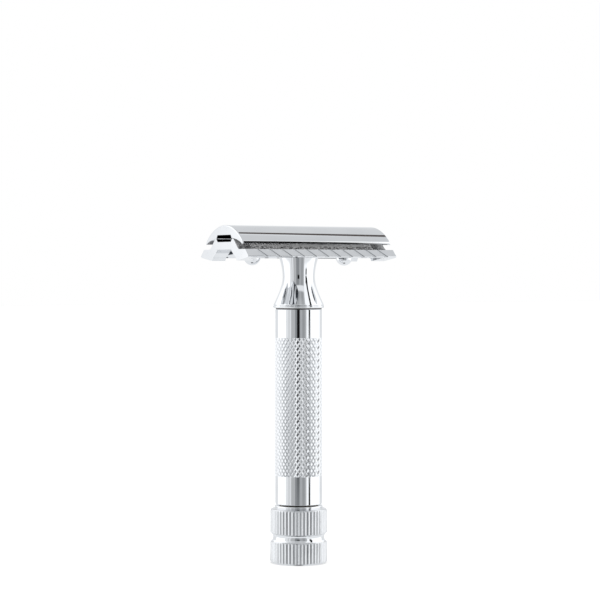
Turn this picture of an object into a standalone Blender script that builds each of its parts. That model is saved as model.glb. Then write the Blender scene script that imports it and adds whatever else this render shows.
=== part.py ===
"""Two-piece double-edge safety razor with a closed safety bar and a twist knob.

The handle carries the base plate for good. A rod runs down inside it from a threaded socket
in the neck to the knob at the bottom. Turning the knob winds the cap's stud out of the socket,
so the cap rises straight off the plate on its two pegs.

Frame: origin at the middle of the knob's bottom face, +Z up the handle, +X along the head.
Sizes are in millimetres and become metres when a mesh is made.
"""

import math

import bmesh
import bpy
from mathutils import Matrix, Vector

MM = 0.001
GAP = 0.3                     # clearance between pieces that touch

# Knob
KNOB_RADIUS = 7.05
KNOB_HEIGHT = 14.3
KNOB_RIDGES = 46
KNOB_RIDGE_DEPTH = 0.28
KNOB_PLAIN_STEP = 0.05         # the plain chamfers stop this far inside the ridges
KNOB_RIDGE_RUN = 0.12          # height over which a ridge rises to its full size
KNOB_EDGE = 0.45              # chamfer round the bottom
KNOB_CONE = 0.9               # height of the smooth cone at the top
KNOB_CONE_RADIUS = 5.95
KNOB_BORE_DEPTH = 10.0
WAIST_MIDDLE = 6.6            # middle of the smooth groove between the two ridged rings
WAIST_WIDTH = 2.8
WAIST_FLOOR = 1.1
WAIST_RADIUS = 6.4
WASHER_POCKET = 0.9           # depth of the recess that holds the knob washer
KNOB_WASHER_RADIUS = 4.2

# Handle tube
TUBE_RADIUS = 5.875
TUBE_BORE = 4.9
TUBE_BOTTOM = KNOB_HEIGHT + GAP
TUBE_TOP = 62.95
TUBE_EDGE = 0.15
KNURL_BOTTOM = 21.7
KNURL_TOP = 55.9
KNURL_PROUD = 0.08

# Neck
NECK_RIM_RADIUS = 6.46
NECK_RIM_BOTTOM = TUBE_TOP + 0.25
NECK_RIM_TOP = 63.9
NECK_WAIST_RADIUS = 4.0
NECK_WAIST_Z = 70.9
NECK_FLARE_RADIUS = 5.5       # where the neck meets the plate
NECK_SEAT_Z = 77.67           # roof of the round seat in the plate
NECK_SPIGOT_RADIUS = 3.6
NECK_SPIGOT_BOTTOM = 54.0
NECK_SHOULDER_Z = 68.2        # inside, under the thrust washer
SOCKET_BORE = 3.05

# Base plate
HEAD_LENGTH = 42.0
PLATE_FLOOR = 79.65           # top of the plateau between its two rims
PLATE_RIM = 80.08
PLATE_CEILING = 77.57         # underside of the plateau
WING_TOP = 77.64
FOOT_BOTTOM = 74.85
BAR_BOTTOM = 75.6
BAR_FRONT = 12.37
BAR_CREST = 10.7
BAR_FRONT_Z = 75.85
CHANNEL = ((7.3, 78.6), (7.95, 76.75), (9.3, 76.75), (9.9, 78.6))    # section, open upwards
FOOT_LENGTH = 3.75
GROOVES_PER_BAR = 11
GROOVE_PITCH = 3.4
GROOVE_RADIUS = 0.55
GROOVE_DEPTH = 0.35
GROOVE_SLANT = 1.9            # how far a groove runs along X on its way down the bar
GROOVE_REACH = 0.9            # half length of a groove cutter, in slants

# Cap
CAP_TOP = 83.56
CROWN_RADIUS = 13.3
CROWN_HALF = 9.05             # where the crown turns down into the edge
EDGE_RADIUS = 1.7
LIP_Z = 78.9
LIP_CHAMFER = 0.15
CLAMP_RADIUS = 24.0           # underside that bends the blade
CLAMP_INNER = (3.95, 80.33)
CLAMP_OUTER = (9.2, 78.9)
RECESS_HALF = 3.4
RECESS_TOP = 81.15
CAP_END_ROUND = 0.5

# Pegs, stud and socket
PEG_X = 13.2
PEG_RADIUS = 2.1
PEG_TIP = 73.77
THREAD_PITCH = 0.7
THREAD_RADIUS = 2.0
THREAD_DEPTH = 0.43
THREAD_CLEARANCE = 0.22
STUD_TIP = 73.0
STUD_THREAD_TOP = 80.6
STUD_TOP = 82.2
SOCKET_RADIUS = 2.75
SOCKET_TOP = 78.6
SOCKET_THREAD_BOTTOM = 72.5
WASHER_THICKNESS = 0.5
ROD_RADIUS = 1.75
PIN_RADIUS = 0.45
PIN_HOLE_GAP = 0.25
PIN_SHORT = 0.15              # each pin end stops this far inside the socket
BUSH_LENGTH = 7.0

SEGMENTS = 40
FINE_SEGMENTS = 64
THREAD_SEGMENTS = 20
THREAD_ROWS = 6               # rows of faces in one pitch


# --------------------------------------------------------------------------------------
# Outlines and meshes
# --------------------------------------------------------------------------------------

def arc(centre, radius, start, end, steps):
    """Points on an arc in a plane, from start to end degrees, both ends included."""
    angles = (math.radians(start + (end - start) * i / steps) for i in range(steps + 1))
    return [(centre[0] + radius * math.cos(a), centre[1] + radius * math.sin(a)) for a in angles]


def bezier(points, steps):
    """Points on a cubic Bezier curve, both ends included."""
    curve = []
    for i in range(steps + 1):
        t = i / steps
        weights = ((1 - t) ** 3, 3 * t * (1 - t) ** 2, 3 * t * t * (1 - t), t ** 3)
        curve.append(tuple(sum(w * p[k] for w, p in zip(weights, points)) for k in (0, 1)))
    return curve


def make_object(name, bm, material, parent):
    """Turn a mesh in millimetres into a smooth-shaded object on its joint's axis."""
    bmesh.ops.scale(bm, vec=(MM, MM, MM), verts=bm.verts)
    bmesh.ops.recalc_face_normals(bm, faces=bm.faces)
    mesh = bpy.data.meshes.new(name)
    bm.to_mesh(mesh)
    bm.free()
    mesh.shade_smooth()
    mesh.set_sharp_from_angle(angle=math.radians(32))
    if material:
        mesh.materials.append(material)
    obj = bpy.data.objects.new(name, mesh)
    bpy.context.collection.objects.link(obj)
    obj.parent = parent
    return obj


def make_cutter(name, bm, target, operation="DIFFERENCE"):
    """Cut a mesh out of the target, or join it on, with an exact Boolean."""
    cutter = make_object(name, bm, None, target.parent)
    cutter.hide_render = True
    cutter.display_type = "WIRE"
    boolean = target.modifiers.new(name, "BOOLEAN")
    boolean.operation = operation
    boolean.object = cutter
    boolean.solver = "EXACT"


def turned(outline, segments=SEGMENTS):
    """Spin an outline of (radius, z) about Z. An outline off the axis is a closed ring."""
    bm = bmesh.new()
    verts = [bm.verts.new((radius, 0.0, z)) for radius, z in outline]
    pairs = list(zip(verts, verts[1:]))
    if min(radius for radius, _ in outline) > 0.0:
        pairs.append((verts[-1], verts[0]))
    edges = [bm.edges.new(pair) for pair in pairs]
    bmesh.ops.spin(bm, geom=verts + edges, axis=(0, 0, 1), cent=(0, 0, 0),
                   angle=math.tau, steps=segments, use_merge=True)
    bmesh.ops.remove_doubles(bm, verts=bm.verts, dist=1e-4)
    return bm


def washer(inner, outer, bottom, top):
    """Outline of a plain ring."""
    return [(inner, bottom), (outer, bottom), (outer, top), (inner, top)]


def lofted(sections):
    """Skin a row of closed (x, outline of (y, z)) sections and close both ends."""
    bm = bmesh.new()
    rings = [[bm.verts.new((x, y, z)) for y, z in outline] for x, outline in sections]
    for ring, following in zip(rings, rings[1:]):
        for i, vert in enumerate(ring):
            j = (i + 1) % len(ring)
            bm.faces.new((vert, ring[j], following[j], following[i]))
    ends = [bm.faces.new(rings[0]), bm.faces.new(rings[-1])]
    bm.normal_update()
    bmesh.ops.triangulate(bm, faces=ends)
    return bm


def both_sides(half):
    """Mirror a half outline that runs from its top, out and round to its underside."""
    return half + [(-y, z) for y, z in reversed(half) if y > 0.0]


def rod_between(bm, start, end, radius, segments):
    """Add a closed cylinder between two points to a mesh."""
    start, end = Vector(start), Vector(end)
    turn = (end - start).to_track_quat("Z", "Y").to_matrix().to_4x4()
    bmesh.ops.create_cone(bm, cap_ends=True, segments=segments, radius1=radius, radius2=radius,
                          depth=(end - start).length,
                          matrix=Matrix.Translation((start + end) / 2) @ turn)


def thread_wave(z, angle):
    """Height of a right-hand thread, 0 at its root to 1 at its crest."""
    phase = (z / THREAD_PITCH - angle / math.tau) % 1.0
    ramp = 2.0 * min(phase, 1.0 - phase)
    return min(1.0, max(0.0, 1.15 * ramp))


def cut_thread(bm, wall, bottom, top, root, end_height):
    """Move a turned wall's points onto the thread, which fades to end_height at both ends."""
    for vert in bm.verts:
        radius = math.hypot(vert.co.x, vert.co.y)
        if abs(radius - wall) > 1e-3 or not bottom - 1e-3 < vert.co.z < top + 1e-3:
            continue
        to_end = min(vert.co.z - bottom, top - vert.co.z) / THREAD_PITCH
        fade = min(1.0, max(0.0, to_end))
        wave = thread_wave(vert.co.z, math.atan2(vert.co.y, vert.co.x))
        height = end_height + (wave - end_height) * fade
        scale = (root + THREAD_DEPTH * height) / radius
        vert.co.x *= scale
        vert.co.y *= scale


def thread_rows(bottom, top):
    """Heights of the rows of points that carry a thread, on one grid for stud and socket."""
    step = THREAD_PITCH / THREAD_ROWS
    return [i * step for i in range(math.ceil(bottom / step), math.floor(top / step) + 1)]


# --------------------------------------------------------------------------------------
# Materials
# --------------------------------------------------------------------------------------

def finish(name, colour, roughness, metallic):
    """A plain Principled material."""
    material = bpy.data.materials.new(name)
    material.use_nodes = True
    shader = material.node_tree.nodes["Principled BSDF"]
    shader.inputs["Base Color"].default_value = (*colour, 1.0)
    shader.inputs["Roughness"].default_value = roughness
    shader.inputs["Metallic"].default_value = metallic
    return material


# --------------------------------------------------------------------------------------
# Knob body: everything that turns
# --------------------------------------------------------------------------------------

def build_knob(parent, chrome):
    """Knob: two rings of straight ridges, a smooth waist, a cone and a blind bore."""
    ring = KNOB_RADIUS
    plain = KNOB_RADIUS - KNOB_PLAIN_STEP
    step = KNOB_RIDGE_RUN
    low = WAIST_MIDDLE - WAIST_WIDTH / 2
    high = WAIST_MIDDLE + WAIST_WIDTH / 2
    cone = KNOB_HEIGHT - KNOB_CONE
    bore = ROD_RADIUS + GAP
    pocket = KNOB_WASHER_RADIUS + GAP
    outline = [
        (0.0, 0.0), (KNOB_RADIUS - KNOB_EDGE, 0.0), (plain, KNOB_EDGE),
        (ring, KNOB_EDGE + step), (ring, low - step), (plain, low),
        (WAIST_RADIUS, WAIST_MIDDLE - WAIST_FLOOR / 2), (WAIST_RADIUS, WAIST_MIDDLE + WAIST_FLOOR / 2),
        (plain, high), (ring, high + step), (ring, cone - step), (plain, cone),
        (KNOB_CONE_RADIUS, KNOB_HEIGHT), (pocket, KNOB_HEIGHT), (pocket, KNOB_HEIGHT - WASHER_POCKET),
        (bore, KNOB_HEIGHT - WASHER_POCKET), (bore, KNOB_HEIGHT - KNOB_BORE_DEPTH),
        (0.0, KNOB_HEIGHT - KNOB_BORE_DEPTH),
    ]
    bm = turned(outline, segments=2 * KNOB_RIDGES)
    for vert in bm.verts:
        if abs(math.hypot(vert.co.x, vert.co.y) - ring) > 1e-3:
            continue
        column = round(math.atan2(vert.co.y, vert.co.x) / math.tau * 2 * KNOB_RIDGES)
        if column % 2:
            vert.co.x *= 1.0 - KNOB_RIDGE_DEPTH / ring
            vert.co.y *= 1.0 - KNOB_RIDGE_DEPTH / ring
    make_object("grip_knob", bm, chrome, parent)


def build_knob_washer(parent, steel):
    """Steel washer that the knob bears on, let into the top of the knob."""
    top = KNOB_HEIGHT
    outline = washer(ROD_RADIUS + GAP, KNOB_WASHER_RADIUS, top - WASHER_POCKET + GAP, top)
    make_object("knob_washer", turned(outline), steel, parent)


def build_rod(parent, steel):
    """Draw rod from the knob's bore up into the socket, cross-drilled for its pin."""
    bottom = KNOB_HEIGHT - KNOB_BORE_DEPTH + GAP
    top = SOCKET_THREAD_BOTTOM - 2 * GAP
    edge = 0.3
    outline = [(0.0, bottom), (ROD_RADIUS - edge, bottom), (ROD_RADIUS, bottom + edge),
               (ROD_RADIUS, top - edge), (ROD_RADIUS - edge, top), (0.0, top)]
    rod = make_object("draw_rod", turned(outline, 24), steel, parent)
    make_cutter("rod_pin_hole", pin_hole(), rod)


def build_socket(parent, brass):
    """Threaded socket on top of the rod: thread above, plain bore for the rod below."""
    bottom = NECK_SHOULDER_Z + GAP + WASHER_THICKNESS + GAP
    bore = ROD_RADIUS + GAP
    root = THREAD_RADIUS - THREAD_DEPTH + THREAD_CLEARANCE
    wall = root + 0.01
    threads = [(wall, z) for z in thread_rows(SOCKET_THREAD_BOTTOM, SOCKET_TOP - 0.3)]
    outline = [(bore, bottom), (SOCKET_RADIUS, bottom), (SOCKET_RADIUS, SOCKET_TOP - 0.2),
               (SOCKET_RADIUS - 0.2, SOCKET_TOP), (THREAD_RADIUS + THREAD_CLEARANCE, SOCKET_TOP)]
    outline += list(reversed(threads)) + [(bore, SOCKET_THREAD_BOTTOM - 0.3)]
    bm = turned(outline, THREAD_SEGMENTS)
    cut_thread(bm, wall, threads[0][1], threads[-1][1], root, end_height=1.0)
    socket = make_object("draw_socket", bm, brass, parent)
    make_cutter("socket_pin_hole", pin_hole(), socket)


def pin_height():
    """Height of the cross pin's axis, halfway up the socket's plain bore."""
    bottom = NECK_SHOULDER_Z + 2 * GAP + WASHER_THICKNESS
    return (bottom + SOCKET_THREAD_BOTTOM) / 2


def pin_hole():
    """Cutter for the cross hole through the rod and the socket."""
    bm = bmesh.new()
    reach = SOCKET_RADIUS + 1.0
    rod_between(bm, (0, -reach, pin_height()), (0, reach, pin_height()), PIN_RADIUS + PIN_HOLE_GAP, 12)
    return bm


def build_pin(parent, steel):
    """Cross pin that locks the socket to the rod."""
    bm = bmesh.new()
    reach = SOCKET_RADIUS - PIN_SHORT
    rod_between(bm, (0, -reach, pin_height()), (0, reach, pin_height()), PIN_RADIUS, 12)
    make_object("socket_pin", bm, steel, parent)


def build_thrust_washer(parent, nylon):
    """Thin washer between the socket and the shoulder inside the neck."""
    bottom = NECK_SHOULDER_Z + GAP
    outline = washer(ROD_RADIUS + GAP, SOCKET_BORE - GAP, bottom, bottom + WASHER_THICKNESS)
    make_object("thrust_washer", turned(outline, 24), nylon, parent)


# --------------------------------------------------------------------------------------
# Handle body: tube, bush, neck and base plate
# --------------------------------------------------------------------------------------

def build_tube(parent, chrome):
    """Handle tube, plain at both ends and a hair thicker along its knurled grip."""
    grip = TUBE_RADIUS + KNURL_PROUD
    outline = [
        (TUBE_BORE, TUBE_BOTTOM), (TUBE_RADIUS - TUBE_EDGE, TUBE_BOTTOM),
        (TUBE_RADIUS, TUBE_BOTTOM + TUBE_EDGE), (TUBE_RADIUS, KNURL_BOTTOM - KNURL_PROUD),
        (grip, KNURL_BOTTOM), (grip, KNURL_TOP), (TUBE_RADIUS, KNURL_TOP + KNURL_PROUD),
        (TUBE_RADIUS, TUBE_TOP - TUBE_EDGE), (TUBE_RADIUS - TUBE_EDGE, TUBE_TOP), (TUBE_BORE, TUBE_TOP),
    ]
    make_object("handle_tube", turned(outline, FINE_SEGMENTS), chrome, parent)


def build_bush(parent, brass):
    """Brass bush in the tube's lower end, which centres the rod and takes the knob's pull."""
    top = TUBE_BOTTOM + BUSH_LENGTH
    outer = TUBE_BORE - GAP
    outline = [(ROD_RADIUS + GAP, TUBE_BOTTOM), (outer, TUBE_BOTTOM), (outer, top - 0.5),
               (outer - 0.5, top), (ROD_RADIUS + GAP, top)]
    make_object("lower_bush", turned(outline), brass, parent)


def build_neck(parent, chrome):
    """Neck: spigot in the tube, a flared rim, a waist, and a spigot up through the plate."""
    spigot = TUBE_BORE - GAP
    lower = bezier(((NECK_RIM_RADIUS - 0.05, NECK_RIM_TOP), (5.2, 66.3),
                    (4.02, 68.7), (NECK_WAIST_RADIUS, NECK_WAIST_Z)), 9)
    upper = bezier(((NECK_WAIST_RADIUS, NECK_WAIST_Z), (NECK_WAIST_RADIUS, 73.0),
                    (4.6, 75.2), (NECK_FLARE_RADIUS, NECK_SEAT_Z - GAP)), 6)
    rim = [(NECK_RIM_RADIUS - 0.15, NECK_RIM_BOTTOM), (NECK_RIM_RADIUS, NECK_RIM_BOTTOM + 0.15),
           (NECK_RIM_RADIUS, NECK_RIM_TOP - 0.15)]
    top = PLATE_FLOOR - 0.15
    outline = [(ROD_RADIUS + GAP, NECK_SPIGOT_BOTTOM), (spigot - 0.4, NECK_SPIGOT_BOTTOM),
               (spigot, NECK_SPIGOT_BOTTOM + 0.4), (spigot, NECK_RIM_BOTTOM)]
    outline += rim + lower + upper[1:]
    outline += [(NECK_SPIGOT_RADIUS, NECK_SEAT_Z - GAP), (NECK_SPIGOT_RADIUS, top),
                (SOCKET_BORE, top), (SOCKET_BORE, NECK_SHOULDER_Z), (ROD_RADIUS + GAP, NECK_SHOULDER_Z)]
    make_object("neck_pillar", turned(outline), chrome, parent)


def plate_outline():
    """Cross-section of the plate at its four corner feet."""
    return both_sides([
        (3.85, PLATE_FLOOR), (4.15, PLATE_RIM), (4.85, PLATE_RIM),
        (5.8, 79.15), (6.9, 78.1), (7.5, WING_TOP), (BAR_CREST, WING_TOP),
        (BAR_FRONT, BAR_FRONT_Z), (BAR_FRONT - 0.15, BAR_FRONT_Z - 0.15), (6.4, FOOT_BOTTOM),
        (5.95, 75.65), (4.4, 76.7), (3.5, PLATE_CEILING),
    ])


def groove_cutters():
    """Slanted round grooves down the front of each bar, the same seen from either side."""
    bm = bmesh.new()
    down = Vector((GROOVE_SLANT, BAR_CREST - BAR_FRONT, BAR_FRONT_Z - WING_TOP))
    out = Vector((0.0, BAR_FRONT_Z - WING_TOP, BAR_FRONT - BAR_CREST)).normalized()
    middle = Vector((0.0, -(BAR_CREST + BAR_FRONT) / 2, (WING_TOP + BAR_FRONT_Z) / 2))
    middle += out * (GROOVE_RADIUS - GROOVE_DEPTH)
    for i in range(GROOVES_PER_BAR):
        centre = middle + Vector(((i - (GROOVES_PER_BAR - 1) / 2) * GROOVE_PITCH, 0.0, 0.0))
        ends = (centre - down * GROOVE_REACH, centre + down * GROOVE_REACH)
        rod_between(bm, *ends, GROOVE_RADIUS, 10)
        turn = Matrix.Rotation(math.pi, 3, "Z")
        rod_between(bm, *(turn @ end for end in ends), GROOVE_RADIUS, 10)
    return bm


def channel_cutters():
    """The two lather channels behind the bars and the relief under the plate."""
    reach = HEAD_LENGTH / 2 - FOOT_LENGTH
    bm = bmesh.new()
    for side in (-1, 1):
        outline = [(side * y, z) for y, z in CHANNEL]
        rings = [[bm.verts.new((x, y, z)) for y, z in outline] for x in (-reach, reach)]
        for i in range(len(outline)):
            j = (i + 1) % len(outline)
            bm.faces.new((rings[0][i], rings[0][j], rings[1][j], rings[1][i]))
        bm.faces.new(rings[0])
        bm.faces.new(rings[1])
    relief = bmesh.ops.create_cube(bm, size=1.0)["verts"]
    depth = BAR_BOTTOM - FOOT_BOTTOM + 1.0
    bmesh.ops.scale(bm, vec=(2 * reach, 2 * BAR_FRONT + 2.0, depth), verts=relief)
    bmesh.ops.translate(bm, vec=(0, 0, BAR_BOTTOM - depth / 2), verts=relief)
    return bm


def hole_cutters():
    """Seat and hole for the neck, and holes for the cap's two pegs."""
    below, above = PLATE_CEILING - 1.0, PLATE_RIM + 1.0
    seat = NECK_FLARE_RADIUS + GAP
    spigot = NECK_SPIGOT_RADIUS + GAP
    bm = turned([(0.0, FOOT_BOTTOM - 1.0), (seat, FOOT_BOTTOM - 1.0), (seat, NECK_SEAT_Z),
                 (spigot, NECK_SEAT_Z), (spigot, above), (0.0, above)])
    for x in (-PEG_X, PEG_X):
        rod_between(bm, (x, 0, below), (x, 0, above), PEG_RADIUS + GAP, 24)
    return bm


def build_plate(parent, chrome):
    """Base plate: plateau with two rims, curved flanks, safety bars and four corner feet."""
    half = HEAD_LENGTH / 2
    bm = lofted([(-half, plate_outline()), (half, plate_outline())])
    plate = make_object("base_plate", bm, chrome, parent)
    make_cutter("channel_cutter", channel_cutters(), plate)
    make_cutter("groove_cutter", groove_cutters(), plate)
    make_cutter("hole_cutter", hole_cutters(), plate)


# --------------------------------------------------------------------------------------
# Cap body: cap with its pegs, and its stud
# --------------------------------------------------------------------------------------

def cap_outline(inset):
    """Cross-section of the cap, its crown and edge moved inwards by inset."""
    turn = math.degrees(math.asin(CROWN_HALF / CROWN_RADIUS))
    crown = (0.0, CAP_TOP - CROWN_RADIUS)
    along = math.radians(90 - turn)
    reach = CROWN_RADIUS - EDGE_RADIUS
    edge = (crown[0] + reach * math.cos(along), crown[1] + reach * math.sin(along))
    lip_start = LIP_Z + LIP_CHAMFER
    last = math.degrees(math.asin((lip_start - edge[1]) / (EDGE_RADIUS - inset)))
    half = arc(crown, CROWN_RADIUS - inset, 90, 90 - turn, 10)
    half += arc(edge, EDGE_RADIUS - inset, 90 - turn, last, 4)[1:]
    half.append((half[-1][0] - LIP_CHAMFER, LIP_Z))
    outer = (CLAMP_OUTER[0] - inset, CLAMP_OUTER[1])
    half += clamp_curve(outer, CLAMP_INNER, CLAMP_RADIUS, 4)
    half.append((RECESS_HALF, RECESS_TOP))
    return both_sides(half)


def clamp_curve(outer, inner, radius, steps):
    """Shallow arc, hollow side down, from the cap's edge in to its recess."""
    start, end = Vector(outer), Vector(inner)
    chord = end - start
    rise = radius - math.sqrt(radius ** 2 - (chord.length / 2) ** 2)
    normal = Vector((-chord.y, chord.x)).normalized()
    if normal.y < 0:
        normal.negate()
    points = []
    for i in range(steps + 1):
        t = i / steps
        points.append(tuple(start + chord * t + normal * rise * 4 * t * (1 - t)))
    return points


def build_cap(parent, chrome):
    """Domed cap with rounded ends, a blind hole for the stud and two cast pegs."""
    half = HEAD_LENGTH / 2
    ends = [(CAP_END_ROUND * (1 - math.sin(a)), CAP_END_ROUND * (1 - math.cos(a)))
            for a in (0.0, math.pi / 4, math.pi / 2)]
    sections = [(-half + back, cap_outline(inset)) for inset, back in ends]
    sections += [(half - back, cap_outline(inset)) for inset, back in reversed(ends)]
    cap = make_object("top_cap", lofted(sections), chrome, parent)

    bore = bmesh.new()
    rod_between(bore, (0, 0, RECESS_TOP - 0.5), (0, 0, STUD_TOP + GAP), THREAD_RADIUS + GAP, 24)
    make_cutter("stud_hole", bore, cap)

    pegs = bmesh.new()
    for x in (-PEG_X, PEG_X):
        peg = turned(peg_outline(), 20)
        bmesh.ops.translate(peg, vec=(x, 0, 0), verts=peg.verts)
        mesh = bpy.data.meshes.new("peg")
        peg.to_mesh(mesh)
        peg.free()
        pegs.from_mesh(mesh)
        bpy.data.meshes.remove(mesh)
    make_cutter("peg_union", pegs, cap, "UNION")


def peg_outline():
    """Peg with a round tip, running up into the cap's body."""
    tip = arc((0.0, PEG_TIP + PEG_RADIUS), PEG_RADIUS, -90, 0, 4)
    tip[0] = (0.0, PEG_TIP)
    return tip + [(PEG_RADIUS, RECESS_TOP + 0.8), (0.0, RECESS_TOP + 0.8)]


def build_stud(parent, steel):
    """Threaded stud in the cap."""
    root = THREAD_RADIUS - THREAD_DEPTH
    wall = root + 0.01
    threads = [(wall, z) for z in thread_rows(STUD_TIP + 0.3, STUD_THREAD_TOP)]
    outline = [(0.0, STUD_TIP), (root - 0.2, STUD_TIP)] + threads
    outline += [(THREAD_RADIUS, STUD_THREAD_TOP + 0.3), (THREAD_RADIUS, STUD_TOP), (0.0, STUD_TOP)]
    bm = turned(outline, THREAD_SEGMENTS)
    cut_thread(bm, wall, threads[0][1], threads[-1][1], root, end_height=0.0)
    make_object("cap_stud", bm, steel, parent)


# --------------------------------------------------------------------------------------
# Assembly
# --------------------------------------------------------------------------------------

def axis_empty(name):
    """Empty on the handle's axis, which every moving piece shares."""
    empty = bpy.data.objects.new(name, None)
    bpy.context.collection.objects.link(empty)
    return empty


def main():
    """Clear the scene and build every piece of the razor."""
    for obj in list(bpy.data.objects):
        bpy.data.objects.remove(obj, do_unlink=True)

    chrome = finish("bright_chrome", (0.80, 0.81, 0.83), 0.06, 1.0)
    steel = finish("turned_steel", (0.56, 0.57, 0.58), 0.25, 1.0)
    brass = finish("machined_brass", (0.80, 0.62, 0.30), 0.28, 1.0)
    nylon = finish("white_nylon", (0.85, 0.84, 0.80), 0.5, 0.0)

    knob = axis_empty("knob_axis")
    build_knob(knob, chrome)
    build_knob_washer(knob, steel)
    build_rod(knob, steel)
    build_socket(knob, brass)
    build_pin(knob, steel)
    build_thrust_washer(knob, nylon)

    handle = axis_empty("handle_frame")
    build_tube(handle, chrome)
    build_bush(handle, brass)
    build_neck(handle, chrome)
    build_plate(handle, chrome)

    cap = axis_empty("cap_axis")
    build_cap(cap, chrome)
    build_stud(cap, steel)


main()
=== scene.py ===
"""Polished two-piece safety razor: its fine surfaces, finishes, studio and camera.

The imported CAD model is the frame. Each new piece is shaped in millimetres, turned into metres
when it is finished, stands for one CAD node and rides on that node's body. The handle stands
still, the knob turns on the handle's axis, and the cap lifts straight off the plate.
"""

from __future__ import annotations

import logging
import math
from collections.abc import Callable, Sequence
from dataclasses import dataclass, field
from enum import Enum
from typing import Any

import bmesh
import bpy
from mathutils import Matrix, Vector


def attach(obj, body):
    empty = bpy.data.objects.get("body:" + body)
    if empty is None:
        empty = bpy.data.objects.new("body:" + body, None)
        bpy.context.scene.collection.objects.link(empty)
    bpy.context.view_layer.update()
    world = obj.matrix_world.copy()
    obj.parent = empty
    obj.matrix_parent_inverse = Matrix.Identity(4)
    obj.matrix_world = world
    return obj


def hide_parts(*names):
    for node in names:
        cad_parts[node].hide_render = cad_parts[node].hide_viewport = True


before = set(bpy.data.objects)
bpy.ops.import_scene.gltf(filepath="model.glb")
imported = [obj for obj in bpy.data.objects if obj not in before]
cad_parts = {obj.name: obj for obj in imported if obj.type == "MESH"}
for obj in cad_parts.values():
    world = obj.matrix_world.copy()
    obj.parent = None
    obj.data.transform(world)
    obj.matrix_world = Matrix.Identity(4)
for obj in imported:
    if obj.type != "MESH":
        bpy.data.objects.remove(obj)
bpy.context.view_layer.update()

MM = 0.001            # metres in a millimetre
NEAR = 1e-4           # points no further apart than this are one, in millimetres
CLOSE = 1e-3          # the same, for points that operators have turned or scaled
PAINT_EDGE = 0.05     # how soft the edge of a painted area is, in millimetres
FLAT_WEIGHT = 80      # how firmly a flattened piece's big faces set its shading
LOG = logging.getLogger("razor")

Flat = tuple[float, float]
Colour = tuple[float, float, float]
Triple = tuple[float, float, float]


class Body(Enum):
    """CAD bodies that pieces ride on."""

    HANDLE = "handle"
    KNOB = "knob"
    CAP = "cap"


class Slot(Enum):
    """Material slots named for the new pieces; finish() is passed one but does not use it."""

    HEAD = "head_chrome"
    HANDLE = "handle_chrome"
    KNOB = "knob_chrome"


# --------------------------------------------------------------------------------------
# Shader maths
# --------------------------------------------------------------------------------------

class Value:
    """A number in a shader. Python's operators on it add Math nodes."""

    def __init__(self, graph: "Graph", socket: bpy.types.NodeSocket) -> None:
        """Wrap one output socket.

        Args:
            graph: the nodes it belongs to.
            socket: the output socket.
        """
        self.graph = graph
        self.socket = socket

    def maths(self, operation: str, *inputs: Any) -> "Value":
        """Add a Math node.

        Args:
            operation: the node's operation.
            inputs: what goes into its sockets, in order.

        Returns:
            The node's result.
        """
        node = self.graph.node("ShaderNodeMath", {"operation": operation}, dict(enumerate(inputs)))
        return Value(self.graph, node.outputs[0])

    def __add__(self, other: Any) -> "Value":
        """Sum."""
        return self.maths("ADD", self, other)

    __radd__ = __add__

    def __sub__(self, other: Any) -> "Value":
        """Difference."""
        return self.maths("SUBTRACT", self, other)

    def __rsub__(self, other: Any) -> "Value":
        """Difference from a plain number."""
        return self.maths("SUBTRACT", other, self)

    def __mul__(self, other: Any) -> "Value":
        """Product."""
        return self.maths("MULTIPLY", self, other)

    __rmul__ = __mul__

    def root(self) -> "Value":
        """Square root."""
        return self.maths("SQRT", self)

    def step(self, low: float, high: float) -> "Value":
        """Smooth step.

        Args:
            low: where the result is 0.
            high: where the result is 1. It may be less than low.

        Returns:
            A number from 0 to 1.
        """
        node = self.graph.node(
            "ShaderNodeMapRange", {"interpolation_type": "SMOOTHSTEP"},
            {"Value": self, "From Min": low, "From Max": high})
        return Value(self.graph, node.outputs["Result"])

    def unsigned(self) -> "Value":
        """The number without its sign."""
        return self.maths("ABSOLUTE", self)

    def above(self, limit: float) -> "Value":
        """1 above a limit in millimetres, 0 a painted edge below it."""
        return self.step((limit - PAINT_EDGE) * MM, limit * MM)

    def below(self, limit: float) -> "Value":
        """1 below a limit in millimetres, 0 a painted edge above it."""
        return self.step((limit + PAINT_EDGE) * MM, limit * MM)

    def between(self, low: float, high: float, blur: float) -> "Value":
        """1 between two limits and 0 outside them, with both edges blurred.

        Args:
            low: the lower limit.
            high: the upper limit.
            blur: how far each edge spreads to either side.

        Returns:
            A number from 0 to 1.
        """
        return self.step(low - blur, low + blur) * self.step(high + blur, high - blur)


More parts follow.
